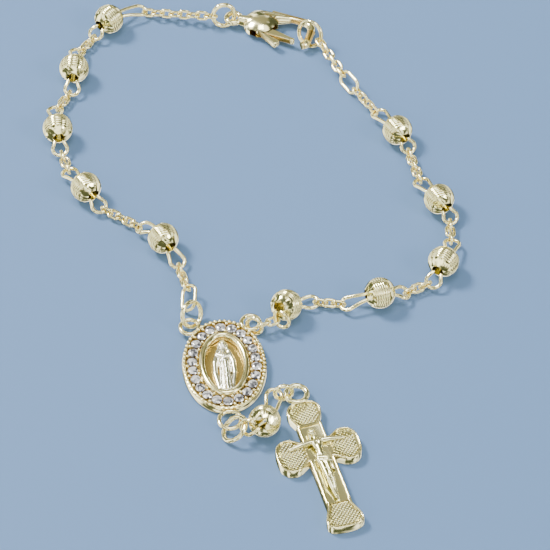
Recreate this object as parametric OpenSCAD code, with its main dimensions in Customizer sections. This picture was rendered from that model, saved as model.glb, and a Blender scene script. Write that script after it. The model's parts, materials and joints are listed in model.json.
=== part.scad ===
// Rosary bracelet of ten beads, with an oval medal, a drop bead and a crucifix, laid in a loop

/* [Beads] */
// Diameter of each bead
bead_d = 5; // [4:0.1:6]
// Diameter of the hole through each bead
bead_bore = 2; // [1.6:0.1:2.4]
// Number of ridges turned round the waist of each bead
ridge_count = 6; // [3:1:7]
// Rounding radius of each ridge
ridge_r = 0.32; // [0.28:0.01:0.5]
// Number of flats cut round each end of a bead
flat_count = 7; // [6:1:10]

/* [Bead links] */
// Wire of the long pinched link in each bead
link_wire = 0.43; // [0.36:0.01:0.46]
// Outer width of the loops at its ends
loop_w = 2.9; // [2.7:0.05:3.1]
// Distance between its two wires inside the bead
link_waist = 0.9; // [0.8:0.02:1]

/* [Chain] */
// Inner length of a small link
small_in_len = 1.68; // [1.64:0.01:1.75]
// Inner width of a small link
small_in_w = 0.92; // [0.88:0.01:0.95]
// Wire of a small link
small_wire = 0.38; // [0.34:0.01:0.4]
// Inner length of a bare oval link
oval_in_len = 4; // [3.9:0.05:4.1]
// Inner width of a bare oval link
oval_in_w = 1.94; // [1.8:0.02:2.1]

/* [Medal] */
// Width of the medal
medal_w = 13.2; // [12:0.1:14]
// Height of the medal
medal_h = 17.9; // [17:0.1:19]
// Width of its stone border
border_w = 3.15; // [2.9:0.05:3.4]
// Thickness at the border
medal_t = 1.5; // [1.3:0.05:1.7]
// Depth of the dish behind the figure
dish_depth = 0.75; // [0.5:0.05:0.9]
// Number of stones in the border
stone_count = 22; // [18:1:24]
// Diameter of each stone
stone_d = 1.6; // [1.3:0.05:1.65]
// Wire of the medal's soldered loops
medal_loop_wire = 0.6; // [0.5:0.02:0.62]
// Height of the figure in the dish
figure_h = 10.4; // [9:0.1:10.8]

/* [Cross] */
// Length of the cross without its loop
cross_len = 24.5; // [23:0.1:26]
// Width of the cross over its side arms
cross_w = 13.2; // [12.4:0.1:14]
// Width of the cross's stem
stem_w = 3.9; // [3.4:0.1:4.4]
// Thickness of the cross
cross_t = 1.5; // [1.3:0.05:1.7]
// Width of the rim round each end
rim_w = 0.28; // [0.2:0.02:0.5]
// Depth of the stem's channel and of the ends' fields
field_depth = 0.3; // [0.2:0.05:0.4]
// Wire of the cross's own loop
eyelet_wire = 0.8; // [0.7:0.02:0.82]

/* [Rings] */
// Wire of the jump rings at the top of the medal
top_ring_wire = 0.52; // [0.46:0.02:0.54]
// Wire of the jump ring at the foot of the medal
foot_ring_wire = 0.56; // [0.5:0.02:0.58]
// Wire of the jump ring on the cross
cross_ring_wire = 0.5; // [0.45:0.01:0.52]
// Wire of the ring on the clasp's tail
tail_ring_wire = 0.6; // [0.5:0.02:0.62]
// Wire of the end ring that the clasp grips
end_ring_wire = 0.62; // [0.56:0.02:0.64]

/* [Clasp] */
// Greatest width of the clasp's body
clasp_w = 6; // [5.4:0.1:6.4]
// Thickness of the clasp's body
clasp_t = 2.8; // [2.6:0.1:3.2]
// Width and height of the claw's arm
arm_w = 1.3; // [1.1:0.05:1.4]
// Thickness of the lever
lever_t = 1.1; // [0.9:0.05:1.2]
// Diameter of the lever's pin
pin_d = 0.7; // [0.5:0.05:0.8]
// Clearance of the lever on its pin and in its slot
lever_gap = 0.12; // [0.1:0.01:0.15]

/* [Hidden] */
$fn = 32;
// Centre of the laid-out loop, which is put at the origin
layout_centre = [-4.37, 5.03];
// Height of the chain's low links over the surface
low_z = 0.98;
// Drop of a bead link below the middle of its bore
link_sag = 0.2;
// Hairline between a casting and what it is fixed to
hairline = 0.04;

// Where each bead lies and how its link leaves it: place, heading of the hole, tilt of the hole,
// distance from the bead's middle to the link's bends, length of the back and front loops, how far
// those loops turn aside, and the front loop's roll and the height of its far end
BX = 0; BY = 1; HEADING = 2; TILT = 3; NECK = 4; BACK_LEN = 5; FRONT_LEN = 6; BACK_TURN = 7; FRONT_TURN = 8;
FRONT_ROLL = 9; FRONT_Z = 10;
beads = [
    [-28.8, 55.9, -132, 0, 2.35, 5.5, 2.6, -24, 6, 0, low_z],
    [-34.3, 44.0, -93, 0, 2.3, 4.2, 3.2, 0, 0, 0, low_z],
    [-36.4, 30.0, -82, 0, 2.3, 4.5, 3.1, 0, 0, 0, low_z],
    [-31.1, 16.8, -55, 0, 2.3, 4.4, 3.2, 0, 0, 0, low_z],
    [-18.1, 5.7, -59, 0, 2.45, 3.9, 3.7, 30, 0, 0, low_z],
    [20.5, 29.6, -59, 0, 2.3, 4.9, 2.6, 0, 0, 0, low_z],
    [26.9, 14.2, -60, 0, 2.3, 4.6, 2.8, 0, 0, 0, low_z],
    [27.1, 0.8, -117, 0, 2.3, 4.3, 3.0, 15, 0, 0, low_z],
    [16.7, -5.8, -166, 0, 2.3, 3.1, 4.5, 0, 0, 0, low_z],
    [1.8, -8.3, -128, 35, 3, 3.9, 3.6, -50, 78, 60, 1.5],
    [-1.6, -31.3, -112, 39.5, 2.9, 5.6, 3.6, 13, -87, -55, 2.31]
];

// Runs of chain: what each hangs between, and its number of small links
runs = [
    ["tail", "back_1", 8],
    ["front_1", "back_2", 3],
    ["front_2", "back_3", 3],
    ["front_3", "back_4", 3],
    ["front_4", "back_5", 5],
    ["front_5", "oval_1_back", 4],
    ["end", "oval_2_back", 6],
    ["oval_2_front", "back_6", 4],
    ["front_6", "back_7", 5],
    ["front_7", "back_8", 3],
    ["front_8", "back_9", 3],
    ["front_9", "back_10", 3],
    ["front_10", "top_right", 2]
];

// Bare oval links: middle, heading, rise and roll
ovals = [
    ["oval_1", [-13.75, -6.0, 1.45], -92, -12, 30],
    ["oval_2", [12.65, 41.7, 1.45], -58, 0, 55]
];

// Jump rings: middle, direction of the level line across them, tilt, and middle diameter
rings = [
    ["top_left", [-13.2, -9.9, 2.12], 53, 62, 4.0, top_ring_wire],
    ["top_right", [-3.25, -11.7, 1.5], -31, 69, 2.6, top_ring_wire],
    ["foot", [-6.2, -32.08, 1.55], -89, 36, 4.2, foot_ring_wire],
    ["cross_ring", [1.32, -25.15, 1.61], 10, 80, 2.7, cross_ring_wire],
    ["tail", [-8.9, 57.2, 2.1], 13, 66, 3.8, tail_ring_wire],
    ["end", [6.05, 52.45, 2.34], -33, 67, 4.4, end_ring_wire]
];

// Medal: its middle and turn; its loops' places from the middle, and their middle radius
medal_at = [-7.93, -19.36];
medal_turn = 5.4;
top_loop = [medal_w / 2 - 1.75, medal_h / 2 - 0.75];
medal_loops = [[-top_loop.x, top_loop.y, 1.45], [top_loop.x, top_loop.y, 1.45], [0, -medal_h / 2 - 1.8, 1.7]];
medal_loop_z = 1.1;

// Cross: its crossing point and turn; its loop's place above the crossing
cross_at = [6.66, -36.02];
cross_turn = 16.8;
eyelet_up = 11.45;
eyelet_r = 1.62;
eyelet_z = 1.15;

// Clasp: middle of its tail eye and heading
clasp_at = [-7.2, 57.2];
clasp_turn = -28.5;

// Vector and pose helpers. A pose is [roll, nose, yaw]: roll about the own X, nose up, then yaw
function unit(v) = v / norm(v);
function turned(v, pose) =
    let (a = [v.x, v.y * cos(pose.x) - v.z * sin(pose.x), v.y * sin(pose.x) + v.z * cos(pose.x)],
         b = [a.x * cos(pose.y) - a.z * sin(pose.y), a.y, a.x * sin(pose.y) + a.z * cos(pose.y)])
    [b.x * cos(pose.z) - b.y * sin(pose.z), b.x * sin(pose.z) + b.y * cos(pose.z), b.z];
function heading_of(v) = atan2(v.y, v.x);
function rise_of(v) = asin(v.z / norm(v));

module posed(at, pose) translate(at) rotate([pose.x, -pose.y, pose.z]) children();
module laid() translate([-layout_centre.x, -layout_centre.y, 0]) children();

// Bead links: side is 1 for the front loop and -1 for the back loop
function bead_mid(b) = [b[BX], b[BY], bead_d / 2];
function bead_pose(b) = [0, b[TILT], b[HEADING]];
function loop_len(b, side) = side > 0 ? b[FRONT_LEN] : b[BACK_LEN];
function bend_at(b, side) = bead_mid(b) + turned([side * b[NECK], 0, -link_sag], bead_pose(b));
function loop_yaw(b, side) = b[HEADING] + (side > 0 ? b[FRONT_TURN] : 180 + b[BACK_TURN]);
function loop_nose(b, side) =
    asin(((side > 0 ? b[FRONT_Z] : low_z) - bend_at(b, side).z) / (loop_len(b, side) - link_wire / 2));
function loop_roll(b, side) = side > 0 ? b[FRONT_ROLL] : 0;
function loop_pose(b, side) = [loop_roll(b, side), loop_nose(b, side), loop_yaw(b, side)];

// What a chain can hook on: the middle of its round end, the normal of its plane, the inner
// radius there and its wire
function loop_end(b, side) =
    [bend_at(b, side) + turned([loop_len(b, side) - loop_w / 2, 0, 0], loop_pose(b, side)),
     turned([0, 0, 1], loop_pose(b, side)), loop_w / 2 - link_wire, link_wire];
function ring_end(r) = [r[1], turned([0, 0, 1], [r[3], 0, r[2]]), r[4] / 2 - r[5] / 2, r[5]];
function oval_end(o, side) =
    let (pose = [o[4], o[3], o[2]])
    [o[1] + turned([side * (oval_in_len - oval_in_w) / 2, 0, 0], pose), turned([0, 0, 1], pose),
     oval_in_w / 2, link_wire];
function row(table, name) = table[search([name], table)[0]];
function end_of(name) =
    let (hits = [for (i = [0 : len(beads) - 1])
                    if (name == str("front_", i + 1)) loop_end(beads[i], 1)
                    else if (name == str("back_", i + 1)) loop_end(beads[i], -1)],
         ring_hits = [for (r = rings) if (r[0] == name) ring_end(r)],
         oval_hits = [for (o = ovals)
                         if (name == str(o[0], "_front")) oval_end(o, 1)
                         else if (name == str(o[0], "_back")) oval_end(o, -1)])
    concat(hits, ring_hits, oval_hits)[0];
function hook_dir(end, toward) = unit(toward - (toward * end[1]) * end[1]);
function hook_at(end, toward) =
    end[0] + hook_dir(end, toward) * (end[2] + end[3] / 2) - toward * end[3] / 2;

// Roll of a link that would lie square across the wire it hooks on, turned back a quarter
function wire_roll(end, toward, along) =
    let (tangent = cross(end[1], hook_dir(end, toward)),
         side = unit(cross([0, 0, 1], along)),
         up = cross(along, side))
    atan2(-(tangent * side), tangent * up) - 90;

// One run of small links, each rolled about a quarter from the last
function run_span(run) =
    let (a = end_of(run[0]), b = end_of(run[1]), first = unit(b[0] - a[0]),
         p0 = hook_at(a, first), q0 = hook_at(b, -first), along = unit(q0 - p0),
         p = hook_at(a, along), q = hook_at(b, -along))
    [p, q];
module chain_run(run)
    let (a = end_of(run[0]), b = end_of(run[1]), n = run[2], span = run_span(run),
         along = unit(span[1] - span[0]), reach = norm(span[1] - span[0]),
         gap = (n * small_in_len - reach) / (n + 1),
         roll_a = wire_roll(a, along, along), roll_b = wire_roll(b, -along, along),
         turns = round(((n + 1) * 90 - (roll_b - roll_a)) / 180),
         step = (roll_b - roll_a + 180 * turns) / (n + 1)) {
        for (i = [0 : n - 1])
            posed(span[0] + along * ((i + 0.5) * small_in_len - (i + 1) * gap),
                  [roll_a + step * (i + 1), rise_of(along), heading_of(along)])
                oval_link(small_in_len, small_in_w, small_wire);
    }

// Wires
module ring(mid_r, wire, sweep = 360)
    rotate([0, 0, sweep < 360 ? -sweep / 2 : 0])
        rotate_extrude(angle = sweep) translate([mid_r, 0]) circle(d = wire);
module rod(p, q, wire)
    posed(p, [0, rise_of(q - p), heading_of(q - p)]) rotate([0, 90, 0]) cylinder(h = norm(q - p), d = wire);
module oval_link(in_len, in_w, wire) {
    mid_r = (in_w + wire) / 2;
    half = (in_len - in_w) / 2;
    for (side = [0, 180]) rotate([0, 0, side]) {
        translate([half, 0, 0]) ring(mid_r, wire, 180);
        rod([-half, mid_r, 0], [half, mid_r, 0], wire);
    }
}

// Bead links: one closed wire, two loops joined through the bead, swept with six sides
wire_sides = 6;
arc_steps = 12;
function loop_points(b, side) =
    let (mid_r = (loop_w - link_wire) / 2,
         mid_x = loop_len(b, side) - loop_w / 2,
         far = norm([mid_x, link_waist / 2]),
         tangent = far > mid_r ? asin(mid_r / far) - atan2(link_waist / 2, mid_x) : 90,
         half_arc = min(100, 90 + tangent),
         foot = link_waist / 2 * unit(turned([0, 1, 0], loop_pose(b, side)) + turned([0, side, 0], bead_pose(b))),
         round_end = [for (i = [0 : arc_steps])
            let (a = half_arc * (1 - 2 * i / arc_steps)) [mid_x + mid_r * cos(a), mid_r * sin(a), 0]])
    concat([bend_at(b, side) + foot],
           [for (p = round_end) bend_at(b, side) + turned(p, loop_pose(b, side))],
           [bend_at(b, side) - foot]);
function carried(spoke, come, go) = spoke - (spoke * go) / (1 + come * go) * (come + go);
module swept_ring(path, wire) {
    n = len(path);
    along = [for (i = [0 : n]) unit(path[i % n] - path[(i + n - 1) % n])];
    spokes = [for (i = 0, spoke = unit(cross(along[0], [0, 0, 1])); i <= n;
                   spoke = i < n ? carried(spoke, along[i], along[i + 1]) : spoke, i = i + 1) spoke];
    // The turn that is left after a full round is spread over all the rings
    left = atan2(cross(spokes[n], spokes[0]) * along[0], spokes[n] * spokes[0]);
    points = [for (i = [0 : n - 1], k = [0 : wire_sides - 1])
        let (miter = unit(along[i] + along[i + 1]),
             turn = left * i / n + k * 360 / wire_sides,
             spoke = wire / 2 * (cos(turn) * spokes[i] + sin(turn) * cross(along[i], spokes[i])))
        path[i] + spoke - along[i] * (spoke * miter) / (along[i] * miter)];
    polyhedron(points, [for (i = [0 : n - 1], k = [0 : wire_sides - 1], half = [0, 1])
        let (a = i * wire_sides, b = (i + 1) % n * wire_sides, m = (k + 1) % wire_sides)
        half == 0 ? [a + k, b + m, a + m] : [a + k, b + k, b + m]]);
}
module bead_link(b) color("wheat") laid()
    swept_ring(concat(loop_points(b, 1), loop_points(b, -1)), link_wire);

// Beads: a ball turned with ridges round its waist and cut with flats round each end
flat_lat = 49;
ridge_step = 10;
ridge_half = ridge_count * ridge_step / 2;
module waist_cut(r) difference() {
    polygon([[0, 0], [2 * r * cos(ridge_half), -2 * r * sin(ridge_half)], [2 * r, 0],
             [2 * r * cos(ridge_half), 2 * r * sin(ridge_half)]]);
    circle(r - ridge_r / 2);
}
module bead_body() {
    r = bead_d / 2;
    flat_half = r * cos(flat_lat) * sin(180 / flat_count);
    flat_out = sqrt(r * r - flat_half * flat_half);
    difference() {
        rotate_extrude() {
            intersection() {
                difference() {
                    circle(r, $fn = 96);
                    waist_cut(r);
                }
                translate([bead_bore / 2, -r]) square([r, 2 * r]);
            }
            for (i = [0 : ridge_count - 1])
                rotate((i - (ridge_count - 1) / 2) * ridge_step) translate([r - ridge_r, 0]) circle(ridge_r);
        }
        for (end = [0, 180], i = [0 : flat_count - 1])
            rotate([end, 0, (i + 0.5) * 360 / flat_count]) rotate([0, -flat_lat, 0])
                translate([flat_out, -1.5, -1.5]) cube(3);
    }
}
module bead(b) color("palegoldenrod") laid()
    posed(bead_mid(b), bead_pose(b)) rotate([0, 90, 0]) bead_body();

// Medal: a closed shell of ovals, each a distance in from the outer edge at its own height
medal_sides = 64;
border_in = border_w / medal_w;
channel_z = medal_t - 0.5;
dish_z = medal_t - dish_depth;
channel_from = 0.6;
dish_bend = 0.45;
channel_to = border_w - 0.6;
function oval_point(inset, turn, z = 0) =
    [(medal_w / 2 - inset) * cos(turn), (medal_h / 2 - inset) * sin(turn), z];
medal_rings = [
    [0.45, 0], [0.12, 0.12], [0, 0.4], [0, medal_t - 0.35], [0.12, medal_t - 0.08], [0.3, medal_t],
    [channel_from - 0.06, medal_t], [channel_from, channel_z], [channel_to, channel_z],
    [channel_to + 0.05, medal_t - 0.1], [channel_to + 0.2, medal_t], [border_w - 0.1, medal_t],
    [border_w, medal_t - 0.12], [border_w + 0.12, medal_t - 0.35], [border_w + 0.28, dish_z + 0.12],
    [border_w + dish_bend, dish_z]
];
module medal_shell() {
    n = medal_sides;
    m = len(medal_rings);
    points = concat(
        [for (r = medal_rings, i = [0 : n - 1]) oval_point(r[0], i * 360 / n, r[1])],
        [[0, 0, 0], [0, 0, dish_z]]);
    faces = concat(
        [for (k = [0 : m - 2], i = [0 : n - 1])
            let (j = (i + 1) % n) [k * n + i, k * n + j, (k + 1) * n + j]],
        [for (k = [0 : m - 2], i = [0 : n - 1])
            let (j = (i + 1) % n) [k * n + i, (k + 1) * n + j, (k + 1) * n + i]],
        [for (i = [0 : n - 1]) [m * n, (i + 1) % n, i]],
        [for (i = [0 : n - 1]) [m * n + 1, (m - 1) * n + i, (m - 1) * n + (i + 1) % n]]);
    polyhedron(points, [for (f = faces) [f[0], f[2], f[1]]]);
}
module on_medal() laid() translate(medal_at) rotate(medal_turn) children();
module medal() color("palegoldenrod") on_medal() {
    medal_shell();
    for (l = medal_loops) translate([l.x, l.y, medal_loop_z]) ring(l.z, medal_loop_wire);
}

// Stones: cut with a table, eight stars, eight kites and a pointed back, spread evenly along an oval
stone_rise = 0.24;
stone_table = 0.56;
stone_inset = (channel_from + channel_to) / 2;
stone_steps = 240;
stone_path = [for (i = [0 : stone_steps]) oval_point(stone_inset, i * 360 / stone_steps)];
stone_miles = [for (i = 0, s = 0; i <= stone_steps;
                    s = s + (i < stone_steps ? norm(stone_path[i + 1] - stone_path[i]) : 0), i = i + 1)
                   [s, i * 360 / stone_steps]];
function stone_turn(i) = lookup((i + 0.5) / stone_count * stone_miles[stone_steps][0], stone_miles);
module stone() {
    r = stone_d / 2;
    girdle = 0.05;
    depth = 0.42 * r / 0.725;
    function round_of(count, rad, z, shift = 0) =
        [for (i = [0 : count - 1]) [rad * cos((i + shift) * 360 / count), rad * sin((i + shift) * 360 / count), z]];
    points = concat(
        round_of(8, r * stone_table, stone_rise), round_of(8, r * 0.78, stone_rise * 0.62, 0.5),
        round_of(16, r, 0), round_of(16, r, -girdle), [[0, 0, -girdle - depth]]);
    faces = concat(
        [[7, 6, 5, 4, 3, 2, 1, 0]],
        [for (i = [0 : 7]) [i, (i + 1) % 8, 8 + i]],
        [for (i = [0 : 7]) [i, 8 + i, 16 + 2 * i]],
        [for (i = [0 : 7]) [i, 16 + 2 * i, 8 + (i + 7) % 8]],
        [for (i = [0 : 7]) [8 + i, 17 + 2 * i, 16 + 2 * i]],
        [for (i = [0 : 7]) [8 + i, 16 + (2 * i + 2) % 16, 17 + 2 * i]],
        [for (i = [0 : 15]) let (j = (i + 1) % 16) [16 + i, 16 + j, 32 + j]],
        [for (i = [0 : 15]) let (j = (i + 1) % 16) [16 + i, 32 + j, 32 + i]],
        [for (i = [0 : 15]) [48, 32 + i, 32 + (i + 1) % 16]]);
    polyhedron(points, faces);
}
module medal_stones() color("whitesmoke") on_medal()
    for (i = [0 : stone_count - 1])
        translate(oval_point(stone_inset, stone_turn(i), medal_t + 0.02)) stone();

// Figure in the dish: a standing veiled figure with joined hands, its heights as shares of its own
module blob(points) hull() for (p = points) translate([p[0], p[1], p[2]]) sphere(p[3], $fn = 12);
module medal_figure() color("wheat") on_medal() {
    s = figure_h / 10.8;
    low = dish_z + hairline;
    intersection() {
        translate([0, 0, low]) scale([s, s, 1]) {
            blob([[-1.1, -5.0, 0.1, 0.3], [1.1, -5.0, 0.1, 0.3], [-1.75, -1.0, 0.2, 0.4], [1.75, -1.0, 0.2, 0.4]]);
            blob([[-1.7, -1.5, 0.25, 0.45], [1.7, -1.5, 0.25, 0.45], [-1.15, 2.3, 0.35, 0.4], [1.15, 2.3, 0.35, 0.4]]);
            blob([[-0.6, -5.0, 0.3, 0.35], [0.6, -5.0, 0.3, 0.35], [0, 1.5, 0.5, 0.7]]);
            blob([[-1.1, 2.2, 0.3, 0.42], [1.1, 2.2, 0.3, 0.42], [-0.55, 4.2, 0.4, 0.5], [0.55, 4.2, 0.4, 0.5]]);
            blob([[0, 3.8, 0.7, 0.62], [0, 4.1, 0.65, 0.6]]);
            blob([[-1.25, 1.6, 0.55, 0.38], [-0.2, 1.1, 0.95, 0.28]]);
            blob([[1.25, 1.6, 0.55, 0.38], [0.2, 1.1, 0.95, 0.28]]);
            blob([[0, 1.0, 1.0, 0.24], [0, 1.9, 0.95, 0.16]]);
            blob([[-1.5, 0.8, 0.4, 0.32], [-1.0, -4.6, 0.35, 0.26]]);
            blob([[1.5, 0.8, 0.4, 0.32], [1.0, -4.6, 0.35, 0.26]]);
            blob([[-0.45, -5.15, 0.25, 0.25], [0.45, -5.15, 0.25, 0.25]]);
        }
        translate([0, 0, low]) linear_extrude(medal_t)
            polygon([for (i = [0 : medal_sides - 1])
                let (p = oval_point(border_w + dish_bend + 0.15, i * 360 / medal_sides)) [p.x, p.y]]);
    }
}

// Cross: its outline is a stem and four fan-shaped ends with round edges, in the frame of the crossing
up_reach = 9.6;
side_reach = cross_w / 2;
down_reach = cross_len - up_reach;
channel_w = stem_w - 0.8;
channel_top = 4.8;
channel_foot = down_reach - 5.03;
// Each end: heading, reach, greatest half width, how far from the tip that is, waist half width and place
ends = [
    [90, up_reach, 2.65, 2.0, 1.75, 4.4],
    [0, side_reach, 3.05, 2.3, 1.7, 1.3],
    [180, side_reach, 3.05, 2.3, 1.7, 1.3],
    [270, down_reach, 2.85, 1.3, 1.7, down_reach - 5.4]
];
side_steps = 6;
tip_steps = 8;
tip_bend = 0.8;
function eased(share) = (1 - cos(180 * share)) / 2;
module cross_end(e, inset = 0) {
    from = e[5] + inset;
    widest = e[1] - e[3];
    half = e[2] - inset;
    waist = e[4] - inset;
    edge = concat(
        [for (i = [0 : side_steps - 1])
            let (share = i / side_steps) [from + (widest - from) * share, waist + (half - waist) * eased(share)]],
        [for (i = [0 : tip_steps])
            let (t = 90 - 90 * i / tip_steps)
            [widest + (e[3] - inset) * pow(cos(t), tip_bend), half * pow(sin(t), tip_bend)]]);
    last = len(edge) - 1;
    rotate(e[0]) polygon(concat([for (p = edge) [p.x, -p.y]], [for (i = [1 : last]) edge[last - i]]));
}
module on_cross() laid() translate(cross_at) rotate(cross_turn) children();
module cross_body() color("palegoldenrod") on_cross() {
    difference() {
        linear_extrude(cross_t) {
            for (e = ends) cross_end(e);
            translate([-stem_w / 2, -down_reach + 3]) square([stem_w, down_reach + up_reach - 6]);
            translate([-side_reach + 3, -1.6]) square([2 * side_reach - 6, 3.2]);
        }
        translate([-channel_w / 2, -channel_foot, cross_t - field_depth])
            cube([channel_w, channel_foot + channel_top, cross_t]);
        for (e = ends) translate([0, 0, cross_t - field_depth]) linear_extrude(cross_t)
            difference() {
                cross_end(e, rim_w);
                translate([-stem_w / 2, -channel_foot - 0.3])
                    square([stem_w, channel_foot + channel_top + 0.6]);
            }
    }
    difference() {
        translate([0, eyelet_up, eyelet_z]) ring(eyelet_r, eyelet_wire);
        linear_extrude(cross_t) cross_end(ends[0]);
    }
    translate([-0.5, up_reach - 0.5, eyelet_z - 0.35]) cube([1, 0.6, 0.7]);
}

// Figure on the cross: limbs and folds as rounded forms over the channel
module corpus() color("wheat") on_cross() {
    low = cross_t - field_depth + hairline;
    top = cross_t + hairline;
    intersection() {
        union() {
            translate([0, 0, low]) {
                blob([[-0.1, 3.0, 0.75, 0.62], [-0.05, 2.7, 0.8, 0.5]]);
                blob([[-0.1, 3.35, 0.6, 0.6], [-0.55, 2.6, 0.45, 0.35], [0.4, 2.6, 0.45, 0.35]]);
                blob([[0, 2.0, 0.5, 0.32], [0, 1.5, 0.55, 0.4]]);
                blob([[-0.75, 1.2, 0.55, 0.42], [0.75, 1.2, 0.55, 0.42], [-0.5, -0.8, 0.45, 0.42], [0.5, -0.8, 0.45, 0.42]]);
                blob([[-0.5, -0.8, 0.4, 0.42], [0.5, -0.8, 0.4, 0.42], [-0.55, -2.6, 0.45, 0.45], [0.6, -2.6, 0.45, 0.45]]);
                blob([[-0.75, -2.6, 0.5, 0.45], [0.8, -2.5, 0.5, 0.45], [-0.75, -3.9, 0.5, 0.42], [0.8, -3.7, 0.5, 0.42]]);
                blob([[0.95, -2.9, 0.5, 0.42], [1.15, -4.3, 0.35, 0.25]]);
                blob([[-0.4, -3.8, 0.5, 0.45], [-0.3, -6.6, 0.75, 0.36]]);
                blob([[0.45, -3.8, 0.5, 0.45], [0.35, -6.6, 0.75, 0.36]]);
                blob([[-0.3, -6.6, 0.75, 0.36], [-0.1, -9.2, 0.5, 0.26]]);
                blob([[0.35, -6.6, 0.75, 0.36], [0.1, -9.2, 0.5, 0.26]]);
                blob([[0, -9.2, 0.55, 0.28], [0.1, -10.3, 0.6, 0.3]]);
            }
            translate([0, 0, top]) for (side = [-1, 1]) {
                blob([[side * 0.8, 1.35, 0.15, 0.36], [side * 2.6, 1.15, 0.3, 0.27]]);
                blob([[side * 2.6, 1.15, 0.3, 0.27], [side * 4.0, 1.0, 0.22, 0.2]]);
                blob([[side * 3.9, 1.0, 0.2, 0.22], [side * 4.35, 1.0, 0.15, 0.16]]);
            }
        }
        union() {
            translate([-channel_w / 2 + 0.06, -channel_foot + 0.06, low])
                cube([channel_w - 0.12, channel_foot + channel_top - 0.12, 3]);
            translate([-5, -12, top]) cube([10, 18, 3]);
        }
    }
}

// Jump rings
module jump_ring(name) color("palegoldenrod") laid()
    let (r = row(rings, name)) posed(r[1], [r[3], 0, r[2]]) ring(r[4] / 2, r[5]);

// Clasp: a round-edged body with a tail eye, a claw's arm round the front, and a lever on a pin
eye_r = 1.2;
eye_wire = 0.9;
clasp_z = clasp_t / 2 + 0.02;
lever_at = [5.6, -0.3];
lever_reach = 6.4;
lever_tip_r = 0.42;
hub_r = 1.0;
body_mid = [4.9, 1.0];
dome_r = 5;
shoulder_in = 1.6;
shoulder_turn = 24;
shoulder_len = 5;
shoulder_r = 1.3;
slot_t = lever_t + 2 * lever_gap;
corner_mid = [11.5, 2.85];
corner_r = 2.05;
arm_len = 5.8;
arm_lap = 0.2;
arm_swell = 0.1;
arm_lean = 8;
front_lean = 12;
front_len = 2.5;
nose_r = 1.0;
nose_turn = 50;
nose_len = 0.5;
corner_turn = 90 + arm_lean - front_lean;
module on_clasp() laid() translate([clasp_at.x, clasp_at.y, 0]) rotate(clasp_turn) children();
module stem(length, wire) translate([0, arm_lap, 0]) rotate([90, 0, 0]) cylinder(h = length + arm_lap, d = wire);
module clasp_arm() translate(corner_mid) {
    rotate(front_lean + corner_turn / 2) ring(corner_r, arm_w + arm_swell, corner_turn);
    rotate(90 + arm_lean) translate([corner_r, 0, 0]) mirror([0, 1, 0]) stem(arm_len, arm_w);
    rotate(front_lean) translate([corner_r, 0, 0]) {
        stem(front_len + arm_lap, arm_w);
        translate([-nose_r, -front_len, 0]) {
            rotate(-nose_turn / 2) ring(nose_r, arm_w + arm_swell, nose_turn);
            rotate(-nose_turn) translate([nose_r, 0, 0]) stem(nose_len, arm_w);
        }
    }
}
module clasp_body() color("palegoldenrod") on_clasp() translate([0, 0, clasp_z]) {
    difference() {
        union() {
            translate(body_mid) rotate_extrude() intersection() {
                translate([0, dome_r - clasp_t / 2]) circle(dome_r, $fn = 96);
                translate([0, clasp_t / 2 - dome_r]) circle(dome_r, $fn = 96);
                translate([0, -clasp_t]) square([clasp_w / 2, 2 * clasp_t]);
            }
            translate([body_mid.x, body_mid.y + shoulder_in, 0]) rotate([0, 90, shoulder_turn])
                cylinder(h = shoulder_len, r1 = shoulder_r, r2 = arm_w / 2 - 0.12);
            translate([1.1, 0.15, 0]) rotate([0, 90, 11]) cylinder(h = 2.6, r1 = 0.85, r2 = 1.25);
            ring(eye_r, eye_wire);
            clasp_arm();
        }
        translate([lever_at.x - hub_r - 0.4, -4, -slot_t / 2]) cube([5, 5.6, slot_t]);
    }
    translate([lever_at.x, lever_at.y, -slot_t / 2 - 0.2]) cylinder(h = slot_t + 0.4, d = pin_d);
}
module clasp_lever() color("wheat") on_clasp() translate([lever_at.x, lever_at.y, clasp_z - lever_t / 2])
    linear_extrude(lever_t) difference() {
        union() {
            circle(hub_r);
            polygon([[-0.55, -0.7], [3.9, -2.4], [4.3, -1.2], [1.6, -0.75], [lever_reach - lever_tip_r, -0.2],
                     [lever_reach - lever_tip_r, 0.54], [0, 0.9]]);
            translate([lever_reach - lever_tip_r, 0.17]) circle(lever_tip_r);
        }
        circle(d = pin_d + 2 * lever_gap);
    }

bead_total = len(beads) - 1;
chain_total = len(runs) - 1;

module bare_oval(o) color("wheat") laid() posed(o[1], [o[4], o[3], o[2]]) oval_link(oval_in_len, oval_in_w, link_wire);
module chain(run) color("wheat") laid() chain_run(run);

for (i = [1 : bead_total]) bead(beads[i - 1]);
bead(beads[bead_total]);  // drop_bead
for (i = [1 : bead_total]) bead_link(beads[i - 1]);
bead_link(beads[bead_total]);  // drop_link
chain(runs[0]);  // tail_chain
for (i = [1 : chain_total]) chain(runs[i]);
bare_oval(ovals[0]);  // oval_link_left
bare_oval(ovals[1]);  // oval_link_right
medal();
medal_stones();
medal_figure();
jump_ring("top_left");  // ring_top_left
jump_ring("top_right");  // ring_top_right
jump_ring("foot");  // ring_foot
jump_ring("cross_ring");  // ring_cross
jump_ring("tail");  // ring_tail
jump_ring("end");  // ring_end
cross_body();
corpus();
clasp_body();
clasp_lever();
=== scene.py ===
# Rosary bracelet: polished pieces, stone setting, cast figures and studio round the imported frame
import json
import math

import bmesh
import bpy
from mathutils import Matrix, Vector

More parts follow.
